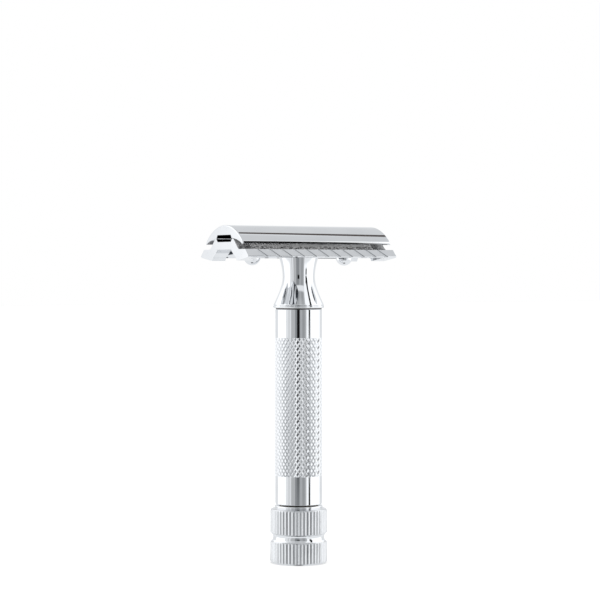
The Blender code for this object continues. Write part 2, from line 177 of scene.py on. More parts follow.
class Graph:
    """The nodes of one material or world."""

    def __init__(self, tree: bpy.types.NodeTree) -> None:
        """Start from an empty tree."""
        self.tree = tree
        tree.nodes.clear()

    def node(self, kind: str, settings: dict[str, Any] | None = None,
             inputs: dict[Any, Any] | None = None) -> bpy.types.Node:
        """Add a node.

        Args:
            kind: the node's type.
            settings: its properties, set first.
            inputs: a value or a link for each socket, by name or number.

        Returns:
            The node.
        """
        node = self.tree.nodes.new(kind)
        for name, setting in (settings or {}).items():
            setattr(node, name, setting)
        for name, given in (inputs or {}).items():
            socket = node.inputs[name]
            if isinstance(given, Value):
                given = given.socket
            if isinstance(given, bpy.types.NodeSocket):
                self.tree.links.new(given, socket)
            else:
                socket.default_value = given
        return node

    def blend(self, factor: Any, first: Any, second: Any) -> bpy.types.NodeSocket:
        """Mix two colours.

        Args:
            factor: 0 for the first colour, 1 for the second.
            first: a colour or a link.
            second: a colour or a link.

        Returns:
            The mixed colour's socket.
        """
        colours = [(*c, 1.0) if isinstance(c, tuple) else c for c in (first, second)]
        node = self.node("ShaderNodeMix", {"data_type": "RGBA"}, {0: factor, 6: colours[0], 7: colours[1]})
        return node.outputs[2]

    def axes(self, vector: bpy.types.NodeSocket) -> tuple[Value, Value, Value]:
        """Split a vector into its three numbers.

        Args:
            vector: the vector.

        Returns:
            Its X, Y and Z.
        """
        node = self.node("ShaderNodeSeparateXYZ", None, {0: vector})
        return Value(self, node.outputs[0]), Value(self, node.outputs[1]), Value(self, node.outputs[2])

    def noise(self, vector: bpy.types.NodeSocket, scale: float, detail: float = 2.0,
              stretch: Triple = (1.0, 1.0, 1.0)) -> Value:
        """Noise in a piece's own space.

        Args:
            vector: the coordinates.
            scale: cells in a metre.
            detail: octaves of finer noise.
            stretch: how much finer the pattern is along each axis.

        Returns:
            The noise, about 0.5 on average.
        """
        mapping = self.node("ShaderNodeMapping", {"vector_type": "POINT"},
                            {"Vector": vector, "Scale": stretch})
        node = self.node("ShaderNodeTexNoise", None,
                         {"Vector": mapping.outputs[0], "Scale": scale, "Detail": detail})
        return Value(self, node.outputs[0])


# --------------------------------------------------------------------------------------
# Finishes
# --------------------------------------------------------------------------------------

@dataclass(frozen=True)
class Shade:
    """What a finish feeds to the shader: each is a number, a colour, a Value or a socket."""

    colour: Any
    roughness: Any
    height: Any = None
    bump: float = 0.0
    metallic: Any = 1.0


@dataclass(frozen=True)
class Finish:
    """Base of the finishes: builds the shader round what paint() returns."""

    name: str

    def paint(self, graph: Graph, place: bpy.types.NodeSocket) -> Shade:
        """Describe the finish at a place on the piece.

        Args:
            graph: the material's nodes.
            place: coordinates in the piece's own space.

        Returns:
            What the shader is fed.
        """
        raise NotImplementedError

    def material(self) -> bpy.types.Material:
        """Build the material.

        Returns:
            The material, with its nodes.
        """
        material = bpy.data.materials.new(self.name)
        material.use_nodes = True
        graph = Graph(material.node_tree)
        place = graph.node("ShaderNodeTexCoord").outputs["Object"]
        shade = self.paint(graph, place)
        inputs = {"Base Color": shade.colour, "Roughness": shade.roughness, "Metallic": shade.metallic}
        if shade.height is not None:
            bump = graph.node("ShaderNodeBump", None,
                              {"Strength": 1.0, "Distance": shade.bump, "Height": shade.height})
            inputs["Normal"] = bump.outputs[0]
        shader = graph.node("ShaderNodeBsdfPrincipled", None, inputs)
        graph.node("ShaderNodeOutputMaterial", None, {"Surface": shader.outputs[0]})
        return material


@dataclass(frozen=True)
class Chrome(Finish):
    """Bright chrome plate over a polished casting, with a trace of haze and waviness."""

    bright: Colour = (0.80, 0.81, 0.825)
    hazed: Colour = (0.74, 0.752, 0.77)
    polish: float = 0.035
    haze: float = 0.07
    haze_cells: float = 180.0
    haze_range: Flat = (0.35, 0.75)
    haze_tint: float = 0.6
    smudge: float = 0.02
    smudge_cells: float = 900.0
    wave_cells: float = 260.0
    wave_height: float = 4.0e-7

    def paint(self, graph: Graph, place: bpy.types.NodeSocket) -> Shade:
        """Mirror chrome: broad faint haze, finer smudges in the roughness, soft waves.

        Args:
            graph: the material's nodes.
            place: coordinates in the piece's own space.

        Returns:
            What the shader is fed.
        """
        haze = graph.noise(place, self.haze_cells).step(*self.haze_range)
        smudge = graph.noise(place, self.smudge_cells, 3.0)
        colour = graph.blend(haze * self.haze_tint, self.bright, self.hazed)
        roughness = haze * (self.haze - self.polish) + smudge * self.smudge
        roughness += self.polish - self.smudge / 2
        return Shade(colour, roughness, graph.noise(place, self.wave_cells, 1.0), self.wave_height)


@dataclass(frozen=True)
class RidgedChrome(Chrome):
    """Chrome on a gripped part: bright where it is turned smooth, satin on its ridges."""

    worn: Colour = (0.64, 0.65, 0.665)
    worn_reach: float = 1.2
    satin: float = 0.08
    grain_cells: float = 5200.0
    grain_satin: float = 0.12
    grain_height: float = 2.2e-6
    smooth_radius: float = 6.66
    ridge_radius: float = 6.78

    def paint(self, graph: Graph, place: bpy.types.NodeSocket) -> Shade:
        """Roughness follows the distance from the axis, with a fine grain on the ridges.

        Args:
            graph: the material's nodes.
            place: coordinates in the piece's own space.

        Returns:
            What the shader is fed.
        """
        shade = super().paint(graph, place)
        across, along, _ = graph.axes(place)
        radius = (across * across + along * along).root()
        ridge = radius.step(self.smooth_radius * MM, self.ridge_radius * MM)
        grain = graph.noise(place, self.grain_cells, 2.0)
        colour = graph.blend(ridge * (self.worn_reach - grain), shade.colour, self.worn)
        roughness = ridge * (self.satin + grain * self.grain_satin) + shade.roughness
        height = shade.height * (self.wave_height / self.grain_height) + grain * ridge
        return Shade(colour, roughness, height, self.grain_height)


@dataclass(frozen=True)
class HeadChrome(Chrome):
    """Chrome on the head: bright outside, satin where lather runs, painted dark as shade in its recesses.

    The lather channels lie between the two distances of lather_side from the middle, above
    lather_floor and under a slanted line. Below mottle_roof they carry a painted mottle of reflection
    and shade, and their ends are painted with shade. The middle recess is painted black as shade, and
    the underside is painted with patchy shade between the ends.
    """

    half_length: float = 20.9
    satin: float = 0.4
    satin_metal: float = 0.15
    satin_light: Colour = (0.95, 0.95, 0.95)
    # dark end of a painted mottle of reflection and shade in the lather channels
    reflection_mottle_dark: Colour = (0.3, 0.3, 0.305)
    lather_side: Flat = (4.5, 9.95)
    lather_floor: float = 76.7
    lather_line: float = 84.0
    line_slope: float = 0.55
    mottle_roof: float = 78.35
    mottle_cells: float = 1700.0
    mottle_range: Flat = (0.42, 0.58)
    recess_half: float = 4.2
    recess_floor: float = 79.35
    recess_roof: float = 81.4
    recess_satin: float = 0.4
    # painted shade: the black that fills the middle recess
    recess_shade: Colour = (0.012, 0.012, 0.013)
    middle_half: float = 17.2
    middle_blur: float = 0.1
    # painted shade: how far the channels' ends are darkened towards the dark shade colour
    foot_shade: float = 0.6
    # painted shade on the underside: its height limits, patch pattern and dark colour
    underside: float = 75.65
    shade_start: Flat = (75.45, 75.55)
    stain_and_shade_cells: float = 300.0
    stain_and_shade_range: Flat = (0.48, 0.54)
    notch_half: float = 6.3
    notch_roof: float = 77.65
    stain_and_shade: Colour = (0.03, 0.035, 0.045)

    def paint(self, graph: Graph, place: bpy.types.NodeSocket) -> Shade:
        """Mirror chrome under its painted areas, which all stop short of the end faces.

        Args:
            graph: the material's nodes.
            place: coordinates in the piece's own space.

        Returns:
            What the shader is fed.
        """
        shade = super().paint(graph, place)
        across, along, up = graph.axes(place)
        reach, side = across.unsigned(), along.unsigned()
        within = reach.below(self.half_length)
        satin = within * self.channels(side, up)
        middle = reach.step((self.middle_half + self.middle_blur) * MM, self.middle_half * MM)
        recess = (within * side.below(self.recess_half)
                  * up.above(self.recess_floor) * up.below(self.recess_roof))
        # painted reflection and shade: a dark mottle on the channels below mottle_roof
        mottle = (graph.noise(place, self.mottle_cells, 2.0).step(*self.mottle_range)
                  * up.step((self.mottle_roof + PAINT_EDGE) * MM, (self.mottle_roof - PAINT_EDGE) * MM))
        # painted shade: patchy dark on the underside and the notch, between the ends
        shade_patches = graph.noise(place, self.stain_and_shade_cells, 2.0).step(*self.stain_and_shade_range)
        colour = graph.blend(satin, shade.colour, graph.blend(mottle, self.satin_light, self.reflection_mottle_dark))
        # painted shade at the channels' ends, then on the underside
        colour = graph.blend(satin * (1 - middle) * self.foot_shade, colour, self.stain_and_shade)
        colour = graph.blend(middle * self.under(side, up) * shade_patches, colour, self.stain_and_shade)
        # painted shade: the middle recess of cap and plate is painted black
        colour = graph.blend(recess, colour, self.recess_shade)
        roughness = shade.roughness + satin * self.satin + recess * self.recess_satin
        return Shade(colour, roughness, shade.height, shade.bump, 1 - satin * (1 - self.satin_metal))

    def channels(self, side: Value, up: Value) -> Value:
        """Mask of the lather channels.

        Args:
            side: distance from the middle.
            up: height.

        Returns:
            1 inside them.
        """
        inner, outer = self.lather_side
        line = self.lather_line * MM
        blur = PAINT_EDGE * MM
        return (side.between(inner * MM, outer * MM, blur) * up.above(self.lather_floor)
                * (up + side * self.line_slope).step(line + blur, line - blur))

    def under(self, side: Value, up: Value) -> Value:
        """Mask of the painted shade on the underside and on the notch in its middle.

        Args:
            side: distance from the middle.
            up: height.

        Returns:
            1 on both.
        """
        low = up.below(self.underside)
        notch = side.below(self.notch_half) * up.below(self.notch_roof)
        start, end = self.shade_start
        return (low + notch * (1 - low)) * up.step(start * MM, end * MM)


@dataclass(frozen=True)
class NeckChrome(Chrome):
    """Chrome on the neck, whose spigot inside the tube is painted dark brown as the shade in the seam's
    gap.
    """

    spigot_top: float = 63.19
    spigot_radius: float = 5.85
    height_blur: float = 0.02
    radius_blur: float = 0.1
    gap_shade: Colour = (0.09, 0.075, 0.065)
    gap_satin: float = 0.4

    def paint(self, graph: Graph, place: bpy.types.NodeSocket) -> Shade:
        """Mirror chrome above the seam; below it, dull metal painted dark as the shade in the gap.

        Args:
            graph: the material's nodes.
            place: coordinates in the piece's own space.

        Returns:
            What the shader is fed.
        """
        shade = super().paint(graph, place)
        across, along, up = graph.axes(place)
        radius = (across * across + along * along).root()
        # painted shade: the spigot in the thin gap under the rim is made dark brown
        in_gap = (up.step((self.spigot_top + self.height_blur) * MM, self.spigot_top * MM)
                * radius.step(self.spigot_radius * MM, (self.spigot_radius - self.radius_blur) * MM))
        colour = graph.blend(in_gap, shade.colour, self.gap_shade)
        roughness = shade.roughness + in_gap * self.gap_satin
        return Shade(colour, roughness, shade.height, shade.bump)


@dataclass(frozen=True)
class TurnedMetal(Finish):
    """Plain turned metal with fine rings round its axis."""

    light: Colour = (0.56, 0.57, 0.58)
    dark: Colour = (0.40, 0.41, 0.42)
    roughness: float = 0.24
    rings: float = 9000.0
    ring_stretch: Triple = (0.02, 0.02, 1.0)
    ring_satin: float = 0.14
    ring_height: float = 1.5e-6
    stain_and_shade_cells: float = 420.0
    stain_and_shade_range: Flat = (0.42, 0.72)
    stain_tint: float = 0.7
    stain_satin: float = 0.1

    def paint(self, graph: Graph, place: bpy.types.NodeSocket) -> Shade:
        """Rings along the axis, a little stain and uneven polish.

        Args:
            graph: the material's nodes.
            place: coordinates in the piece's own space.

        Returns:
            What the shader is fed.
        """
        rings = graph.noise(place, self.rings, 1.0, self.ring_stretch)
        # the turned metal's own random stain; no shade is painted here
        stain_and_shade = graph.noise(place, self.stain_and_shade_cells, 3.0).step(*self.stain_and_shade_range)
        colour = graph.blend(stain_and_shade * self.stain_tint, self.light, self.dark)
        roughness = rings * self.ring_satin + stain_and_shade * self.stain_satin + self.roughness
        return Shade(colour, roughness, rings, self.ring_height)


@dataclass(frozen=True)
class Nylon(Finish):
    """Milky nylon."""

    milky: Colour = (0.84, 0.83, 0.79)
    cloudy: Colour = (0.75, 0.74, 0.70)
    cloud_cells: float = 600.0
    grain_cells: float = 7000.0
    grain_satin: float = 0.15
    grain_height: float = 2.0e-6
    roughness: float = 0.42

    def paint(self, graph: Graph, place: bpy.types.NodeSocket) -> Shade:
        """Slightly uneven white with a soft moulded grain.

        Args:
            graph: the material's nodes.
            place: coordinates in the piece's own space.

        Returns:
            What the shader is fed.
        """
        cloud = graph.noise(place, self.cloud_cells, 2.0)
        grain = graph.noise(place, self.grain_cells, 1.0)
        colour = graph.blend(cloud, self.milky, self.cloudy)
        roughness = grain * self.grain_satin + self.roughness
        return Shade(colour, roughness, grain, self.grain_height, metallic=0.0)


# --------------------------------------------------------------------------------------
# Outlines
# --------------------------------------------------------------------------------------

def arc(centre: Flat, radius: float, start: float, end: float, steps: int) -> list[Flat]:
    """Points on an arc.

    Args:
        centre: its centre.
        radius: its radius.
        start: first angle in degrees.
        end: last angle in degrees.
        steps: number of chords.

    Returns:
        The points, both ends included.
    """
    angles = (math.radians(start + (end - start) * i / steps) for i in range(steps + 1))
    return [(centre[0] + radius * math.cos(a), centre[1] + radius * math.sin(a)) for a in angles]


def curve(handles: Sequence[Flat], steps: int) -> list[Flat]:
    """Points on a cubic Bezier curve.

    Args:
        handles: its four control points.
        steps: number of chords.

    Returns:
        The points, both ends included.
    """
    points = []
    for i in range(steps + 1):
        t = i / steps
        weights = ((1 - t) ** 3, 3 * t * (1 - t) ** 2, 3 * t * t * (1 - t), t ** 3)
        points.append(tuple(sum(w * p[k] for w, p in zip(weights, handles)) for k in (0, 1)))
    return points


def rounded(corners: Sequence[Triple], steps: int = 5) -> list[Flat]:
    """Round the corners of a closed outline.

    Args:
        corners: each corner's place and radius.
        steps: number of chords in each rounded corner.

    Returns:
        The outline's points.
    """
    outline: list[Flat] = []
    for i, (across, up, radius) in enumerate(corners):
        here = Vector((across, up))
        before = (Vector(corners[i - 1][:2]) - here).normalized()
        after = (Vector(corners[(i + 1) % len(corners)][:2]) - here).normalized()
        opening = before.angle(after)
        if radius == 0.0:
            outline.append((across, up))
            continue
        centre = here + (before + after).normalized() * radius / math.sin(opening / 2)
        reach = radius / math.tan(opening / 2)
        start, end = here + before * reach - centre, here + after * reach - centre
        turn = start.angle_signed(end)
        for k in range(steps + 1):
            angle = -turn * k / steps
            cos, sin = math.cos(angle), math.sin(angle)
            outline.append((centre.x + start.x * cos - start.y * sin,
                            centre.y + start.x * sin + start.y * cos))
    return outline


def mirrored(half: Sequence[tuple[float, ...]]) -> list[tuple[float, ...]]:
    """Join a half outline, run from its top round to its underside, to its mirror image."""
    return list(half) + [(-point[0], *point[1:]) for point in reversed(half) if point[0] > 0.0]


# --------------------------------------------------------------------------------------
# Modelling bench
# --------------------------------------------------------------------------------------

class Bench:
    """One piece on the bench, in millimetres, shaped by hand operations in edit mode."""

    def __init__(self, name: str) -> None:
        """Put a small plane on the bench as the start of a piece.

        Args:
            name: the piece's name.
        """
        self.clear()
        bpy.ops.mesh.primitive_plane_add(size=1.0)
        self.adopt(name)

    @classmethod
    def rod(cls, name: str, start: Vector, end: Vector, radius: float, sides: int) -> "Bench":
        """Start from a round bar between two points.

        Args:
            name: the piece's name.
            start: centre of one end.
            end: centre of the other end.
            radius: the bar's radius.
            sides: number of sides.

        Returns:
            The bench with the bar on it.
        """
        bench = cls.__new__(cls)
        cls.clear()
        along = Vector(end) - Vector(start)
        bpy.ops.mesh.primitive_cylinder_add(
            vertices=sides, radius=radius, depth=along.length, location=(Vector(start) + Vector(end)) / 2,
            rotation=along.to_track_quat("Z", "Y").to_euler())
        bpy.ops.object.transform_apply(location=True, rotation=True, scale=True)
        bench.adopt(name)
        return bench

    @staticmethod
    def clear() -> None:
        """Leave edit mode and let go of everything."""
        if bpy.context.object and bpy.context.object.mode != "OBJECT":
            bpy.ops.object.mode_set(mode="OBJECT")
        bpy.ops.object.select_all(action="DESELECT")

    def adopt(self, name: str) -> None:
        """Take the new object as this bench's piece and open it.

        Args:
            name: the piece's name.
        """
        self.obj = bpy.context.active_object
        self.obj.name = name
        self.obj.data.name = name
        self.open()

    def open(self) -> None:
        """Go into edit mode on this piece alone."""
        self.clear()
        self.obj.select_set(True)
        bpy.context.view_layer.objects.active = self.obj
        bpy.ops.object.mode_set(mode="EDIT")
        bpy.ops.mesh.select_mode(type="VERT")

    def trace(self, points: Sequence[Sequence[float]], closed: bool = True) -> None:
        """Shrink the piece to a point and draw it out along a line.

        Args:
            points: the line's points.
            closed: whether the last point joins the first.
        """
        bpy.ops.mesh.select_all(action="SELECT")
        bpy.ops.mesh.merge(type="CENTER")
        bpy.ops.transform.translate(value=Vector(points[0]))
        for start, end in zip(points, points[1:]):
            self.extrude(Vector(end) - Vector(start))
        if closed:
            first, last = Vector(points[0]), Vector(points[-1])
            self.pick(lambda co: min((co - first).length, (co - last).length) < NEAR)
            bpy.ops.mesh.edge_face_add()

    def extrude(self, step: Sequence[float]) -> None:
        """Extrude what is selected by a step."""
        bpy.ops.mesh.extrude_region_move(TRANSFORM_OT_translate={"value": Vector(step)})

    def bar(self, outline: Sequence[Flat], *stations: float) -> None:
        """Draw a closed outline of (y, z) and extrude it along X.

        Args:
            outline: the cross-section.
            stations: X of one end, of any sections between, and of the other end.
        """
        self.trace([(stations[0], y, z) for y, z in outline])
        bpy.ops.mesh.select_all(action="SELECT")
        bpy.ops.mesh.edge_face_add()
        for start, end in zip(stations, stations[1:]):
            self.extrude((end - start, 0.0, 0.0))
        self.tidy()

    def turn(self, outline: Sequence[Flat], steps: int, sweep: float = math.tau, start: float = 0.0,
             closed: bool = False) -> None:
        """Draw an outline of (radius, z) and spin it about the Z axis.

        Args:
            outline: the outline.
            steps: number of steps.
            sweep: how far it is turned, in radians.
            start: angle of the first section, in radians.
            closed: whether the outline closes on itself.
        """
        self.trace([(r * math.cos(start), r * math.sin(start), z) for r, z in outline], closed)
        bpy.ops.mesh.select_all(action="SELECT")
        self.spin(steps, sweep)
        if sweep == math.tau:
            self.tidy()

    @staticmethod
    def spin(steps: int, sweep: float, copies: bool = False) -> None:
        """Spin what is selected anticlockwise about the Z axis, as a skin or as copies.

        Args:
            steps: number of steps.
            sweep: how far, in radians.
            copies: whether it makes loose copies.
        """
        bpy.ops.mesh.spin(steps=steps, angle=sweep, dupli=copies, center=(0, 0, 0), axis=(0, 0, -1))

    def pick(self, test: Callable[[Vector], bool]) -> None:
        """Select the points that pass a test on their place.

        Args:
            test: what a point has to pass.
        """
        bpy.ops.mesh.select_mode(type="VERT")
        bpy.ops.mesh.select_all(action="DESELECT")
        mesh = bmesh.from_edit_mesh(self.obj.data)
        for vert in mesh.verts:
            vert.select = test(vert.co)
        mesh.select_flush_mode()
        bmesh.update_edit_mesh(self.obj.data)

    def pick_edges(self, test: Callable[[Vector, Vector], bool]) -> None:
        """Select the edges that pass a test on their two ends.

        Args:
            test: what an edge has to pass.
        """
        bpy.ops.mesh.select_mode(type="EDGE")
        bpy.ops.mesh.select_all(action="DESELECT")
        mesh = bmesh.from_edit_mesh(self.obj.data)
        for edge in mesh.edges:
            edge.select = test(edge.verts[0].co, edge.verts[1].co)
        mesh.select_flush_mode()
        bmesh.update_edit_mesh(self.obj.data)

    def bevel(self, width: float, segments: int) -> None:
        """Round the selected edges."""
        bpy.ops.mesh.bevel(offset=width, segments=segments, profile=0.5, affect="EDGES",
                           clamp_overlap=False)

    def grow(self, factor: float, along: float = 1.0, centre: Sequence[float] = (0, 0, 0)) -> None:
        """Scale what is selected across the axis by a factor, and along it by another.

        Args:
            factor: the scale across the axis.
            along: the scale along the axis.
            centre: the point that stays.
        """
        bpy.ops.transform.resize(value=(factor, factor, along), center_override=centre)

    def tidy(self, distance: float = NEAR) -> None:
        """Merge doubled points and turn the faces outwards.

        Args:
            distance: points no further apart than this are merged.
        """
        bpy.ops.mesh.select_mode(type="VERT")
        bpy.ops.mesh.select_all(action="SELECT")
        bpy.ops.mesh.remove_doubles(threshold=distance)
        bpy.ops.mesh.normals_make_consistent(inside=False)

    def repeat(self, count: int, step: Sequence[float]) -> None:
        """Copy the whole piece in a row.

        Args:
            count: how many there are in the end.
            step: from one to the next.
        """
        bpy.ops.mesh.select_all(action="SELECT")
        for _ in range(count - 1):
            bpy.ops.mesh.duplicate_move(TRANSFORM_OT_translate={"value": Vector(step)})

    def modify(self, kind: str, **settings: Any) -> None:
        """Add a modifier with its settings and apply it.

        Args:
            kind: the modifier's type.
            settings: its properties.
        """
        self.open()
        bpy.ops.object.mode_set(mode="OBJECT")
        modifier = self.obj.modifiers.new(kind.lower(), kind)
        for name, setting in settings.items():
            setattr(modifier, name, setting)
        bpy.ops.object.modifier_apply(modifier=modifier.name)
        self.open()

    def combine(self, tool: "Bench", operation: str = "DIFFERENCE") -> None:
        """Cut another bench's piece out of this one, or join it on, and throw it away.

        Args:
            tool: the other bench.
            operation: DIFFERENCE or UNION.
        """
        self.modify("BOOLEAN", operation=operation, solver="EXACT", object=tool.obj)
        bpy.data.objects.remove(tool.obj)

    def finish(self, body: Body, slot: Slot, finish: Finish, stands_for: str, angle: float = 30.0,
               flatten: bool = False) -> bpy.types.Object:
        """Take the piece off the bench: real size, smooth, dressed and on its body.

        Args:
            body: the CAD body it rides on.
            slot: the record's material slot; not used.
            finish: its finish.
            stands_for: the CAD node it replaces.
            angle: sharpest edge that is shaded smooth, in degrees.
            flatten: whether its flat faces keep flat shading up to their rounded edges.

        Returns:
            The finished object.
        """
        bpy.ops.mesh.select_all(action="SELECT")
        bpy.ops.mesh.select_face_by_sides(number=4, type="GREATER", extend=False)
        bpy.ops.mesh.quads_convert_to_tris(quad_method="BEAUTY", ngon_method="BEAUTY")
        bpy.ops.object.mode_set(mode="OBJECT")
        bpy.ops.object.shade_smooth_by_angle(angle=math.radians(angle))
        if flatten:
            self.modify("WEIGHTED_NORMAL", keep_sharp=True, weight=FLAT_WEIGHT)
            bpy.ops.object.mode_set(mode="OBJECT")
        self.obj.scale = (MM, MM, MM)
        bpy.ops.object.transform_apply(location=False, rotation=False, scale=True)
        self.obj.data.materials.clear()
        self.obj.data.materials.append(finish.material())
        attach(self.obj, body.value)
        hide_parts(stands_for)
        LOG.info("%s: %d faces", self.obj.name, len(self.obj.data.polygons))
        return self.obj


# --------------------------------------------------------------------------------------
# Head
# --------------------------------------------------------------------------------------

@dataclass
class Head:
    """Cap and base plate."""

    length: float = 42.0
    cap_finish: HeadChrome = field(
        default_factory=lambda: HeadChrome("cap_chrome_plate", lather_floor=90.0))
    plate_finish: HeadChrome = field(default_factory=lambda: HeadChrome("base_chrome_plate"))

    cap_top: float = 83.56
    crown_radius: float = 13.3
    crown_half: float = 9.05
    edge_radius: float = 1.7
    lip: float = 78.9
    lip_chamfer: float = 0.15
    clamp: tuple[Flat, ...] = ((9.2, 78.9), (7.6, 79.85), (5.7, 80.25), (3.95, 80.33))
    recess_half: float = 3.4
    recess_top: float = 81.15
    crown_steps: int = 26
    edge_steps: int = 12
    clamp_steps: int = 10
    end_round: float = 0.3
    end_parts: tuple[float, ...] = (0.0, 0.03, 0.12, 0.25, 0.42, 0.62, 0.8, 1.0)

    peg_x: float = 13.2
    peg_radius: float = 2.1
    peg_tip: float = 73.77
    peg_root: float = 0.8
    peg_steps: int = 12
    peg_sides: int = 48
    peg_play: float = 0.3
    stud_hole_radius: float = 2.3
    stud_hole_top: float = 82.5
    stud_hole_start: float = 0.5

    foot_length: float = 3.75
    relief_top: float = 75.6
    relief_corner: Flat = (14.0, 73.0)
    channel: tuple[Flat, ...] = ((7.3, 78.6), (7.95, 76.75), (9.3, 76.75), (9.9, 78.6))
    groove_count: int = 11
    groove_pitch: float = 3.4
    groove_radius: float = 0.55
    groove_depth: float = 0.35
    groove_slant: float = 1.9
    groove_reach: float = 0.9
    groove_sides: int = 24
    bar_crest: Flat = (10.7, 77.64)
    bar_front: Flat = (12.36, 75.93)
    seat_radius: float = 5.56
    seat_roof: float = 77.68
    seat_sides: int = 96
    spigot_hole: float = 3.9
    spigot_hole_sides: int = 64
    hole_span: Flat = (70.0, 82.0)
    plate_end_round: float = 0.07

    def cap_outer(self) -> list[Flat]:
        """Half of the cap's outside, from its top to its lip.

        Returns:
            Its points, as (y, z).
        """
        turn = math.degrees(math.asin(self.crown_half / self.crown_radius))
        centre = (0.0, self.cap_top - self.crown_radius)
        along = math.radians(90 - turn)
        reach = self.crown_radius - self.edge_radius
        edge = (centre[0] + reach * math.cos(along), centre[1] + reach * math.sin(along))
        last = math.degrees(math.asin((self.lip + self.lip_chamfer - edge[1]) / self.edge_radius))
        half = arc(centre, self.crown_radius, 90, 90 - turn, self.crown_steps)
        half += arc(edge, self.edge_radius, 90 - turn, last, self.edge_steps)[1:]
        half.append((half[-1][0] - self.lip_chamfer, self.lip))
        return half

    def build_cap(self) -> None:
        """Cap: domed bar with softened ends, a hollow underside, a stud hole and two pegs."""
        outer = self.cap_outer()
        under = curve(self.clamp, self.clamp_steps) + [(self.recess_half, self.recess_top)]
        half = self.length / 2
        bench = Bench("cap_shell")
        insets = [self.end_round * part for part in self.end_parts]
        stations = [-half + back for back in insets] + [half - back for back in reversed(insets)]
        bench.bar(mirrored(outer + under), *stations)
        rim = {self.place(y, z) for y, z in outer}
        middle = (0.0, 0.0, self.cap_top - self.crown_radius)
        for x in stations:
            scale = 1.0 - self.roll(half - abs(x)) / self.crown_radius
            bench.pick(lambda co, x=x: abs(co.x - x) < NEAR and self.place(co.y, co.z) in rim)
            bpy.ops.transform.resize(value=(1.0, scale, scale), center_override=middle)
        bench.combine(Bench.rod("stud_hole", Vector((0, 0, self.recess_top - self.stud_hole_start)),
                                Vector((0, 0, self.stud_hole_top)), self.stud_hole_radius,
                                self.peg_sides))
        for x in (-self.peg_x, self.peg_x):
            bench.combine(self.peg(x), "UNION")
        bench.finish(Body.CAP, Slot.HEAD, self.cap_finish, "top_cap", flatten=True)

    @staticmethod
    def place(y: float, z: float) -> Flat:
        """Name a point of the section by its rounded numbers, the same on both sides."""
        return round(abs(y), 2), round(z, 2)

    def roll(self, back: float) -> float:
        """How far the rounded edge has dropped at a distance from the cap's end.

        Args:
            back: the distance from the end.

        Returns:
            The drop.
        """
        near = max(self.end_round - back, 0.0)
        return self.end_round - math.sqrt(self.end_round ** 2 - near ** 2)

    def peg(self, x: float) -> Bench:
        """One round-nosed peg.

        Args:
            x: where its axis is.

        Returns:
            The bench with the peg on it.
        """
        nose = arc((0.0, self.peg_tip + self.peg_radius), self.peg_radius, -90, 0, self.peg_steps)
        nose[0] = (0.0, self.peg_tip)
        top = self.recess_top + self.peg_root
        bench = Bench("peg")
        bench.turn(nose + [(self.peg_radius, top), (0.0, top)], self.peg_sides)
        bpy.ops.transform.translate(value=(x, 0, 0))
        return bench

    def plate_outline(self) -> list[Flat]:
        """Cross-section of the plate at its feet, with its small fillets.

        Returns:
            Its points, as (y, z).
        """
        return rounded(mirrored([
            (3.4, 79.45, 0.1), (4.1, 80.22, 0.1), (4.7, 80.22, 0.3), (5.8, 79.12, 1.2),
            (6.9, 78.05, 1.2), (7.5, 77.64, 0.35), (*self.bar_crest, 0.22), (*self.bar_front, 0.12),
            (11.85, 75.64, 0.3), (6.4, 74.85, 0.3), (5.95, 75.65, 0.3), (4.4, 76.7, 0.6),
            (3.5, 77.57, 0.2),
        ]))

    def build_plate(self) -> None:
        """Plate: plateau with two rims, safety bars with slanted grooves, and corner feet."""
        half = self.length / 2
        bench = Bench("plate_casting")
        bench.bar(self.plate_outline(), -half, half)
        bench.pick_edges(lambda a, b: abs(a.x - b.x) < NEAR)
        bench.bevel(self.plate_end_round, 2)
        reach = half - self.foot_length
        for side in (-1, 1):
            channel = Bench("channel")
            channel.bar([(side * y, z) for y, z in self.channel], -reach, reach)
            bench.combine(channel)
        relief = Bench("relief")
        out, low = self.relief_corner
        relief.bar([(out, low), (out, self.relief_top), (-out, self.relief_top), (-out, low)],
                   -reach, reach)
        bench.combine(relief)
        for side in (-1, 1):
            bench.combine(self.grooves(side))
        for cutter in self.holes():
            bench.combine(cutter)
        bench.finish(Body.HANDLE, Slot.HEAD, self.plate_finish, "base_plate", flatten=True)

    def grooves(self, side: int) -> Bench:
        """Round bars that cut one safety bar's grooves.

        Args:
            side: -1 for the front bar, 1 for the rear one.

        Returns:
            The bench with all of them on it.
        """
        (crest, crest_z), (front, front_z) = self.bar_crest, self.bar_front
        down = Vector((-side * self.groove_slant, side * (front - crest), front_z - crest_z))
        out = Vector((0.0, side * (crest_z - front_z), front - crest)).normalized()
        middle = Vector((0.0, side * (crest + front) / 2, (crest_z + front_z) / 2))
        middle += out * (self.groove_radius - self.groove_depth)
        middle.x = -(self.groove_count - 1) / 2 * self.groove_pitch
        down *= self.groove_reach
        bench = Bench.rod("grooves", middle - down, middle + down, self.groove_radius,
                          self.groove_sides)
        bench.repeat(self.groove_count, (self.groove_pitch, 0, 0))
        return bench

    def holes(self) -> list[Bench]:
        """Round cutters: the neck's seat and hole, and the pegs' two holes.

        Returns:
            A bench for each cutter.
        """
        below, above = (Vector((0, 0, z)) for z in self.hole_span)
        roof = Vector((0, 0, self.seat_roof))
        cutters = [Bench.rod("seat", below, roof, self.seat_radius, self.seat_sides),
                   Bench.rod("hole", below, above, self.spigot_hole, self.spigot_hole_sides)]
        for x in (-self.peg_x, self.peg_x):
            aside = Vector((x, 0, 0))
            cutters.append(Bench.rod("hole", below + aside, above + aside,
                                     self.peg_radius + self.peg_play, self.peg_sides))
        return cutters


# --------------------------------------------------------------------------------------
# Handle
# --------------------------------------------------------------------------------------

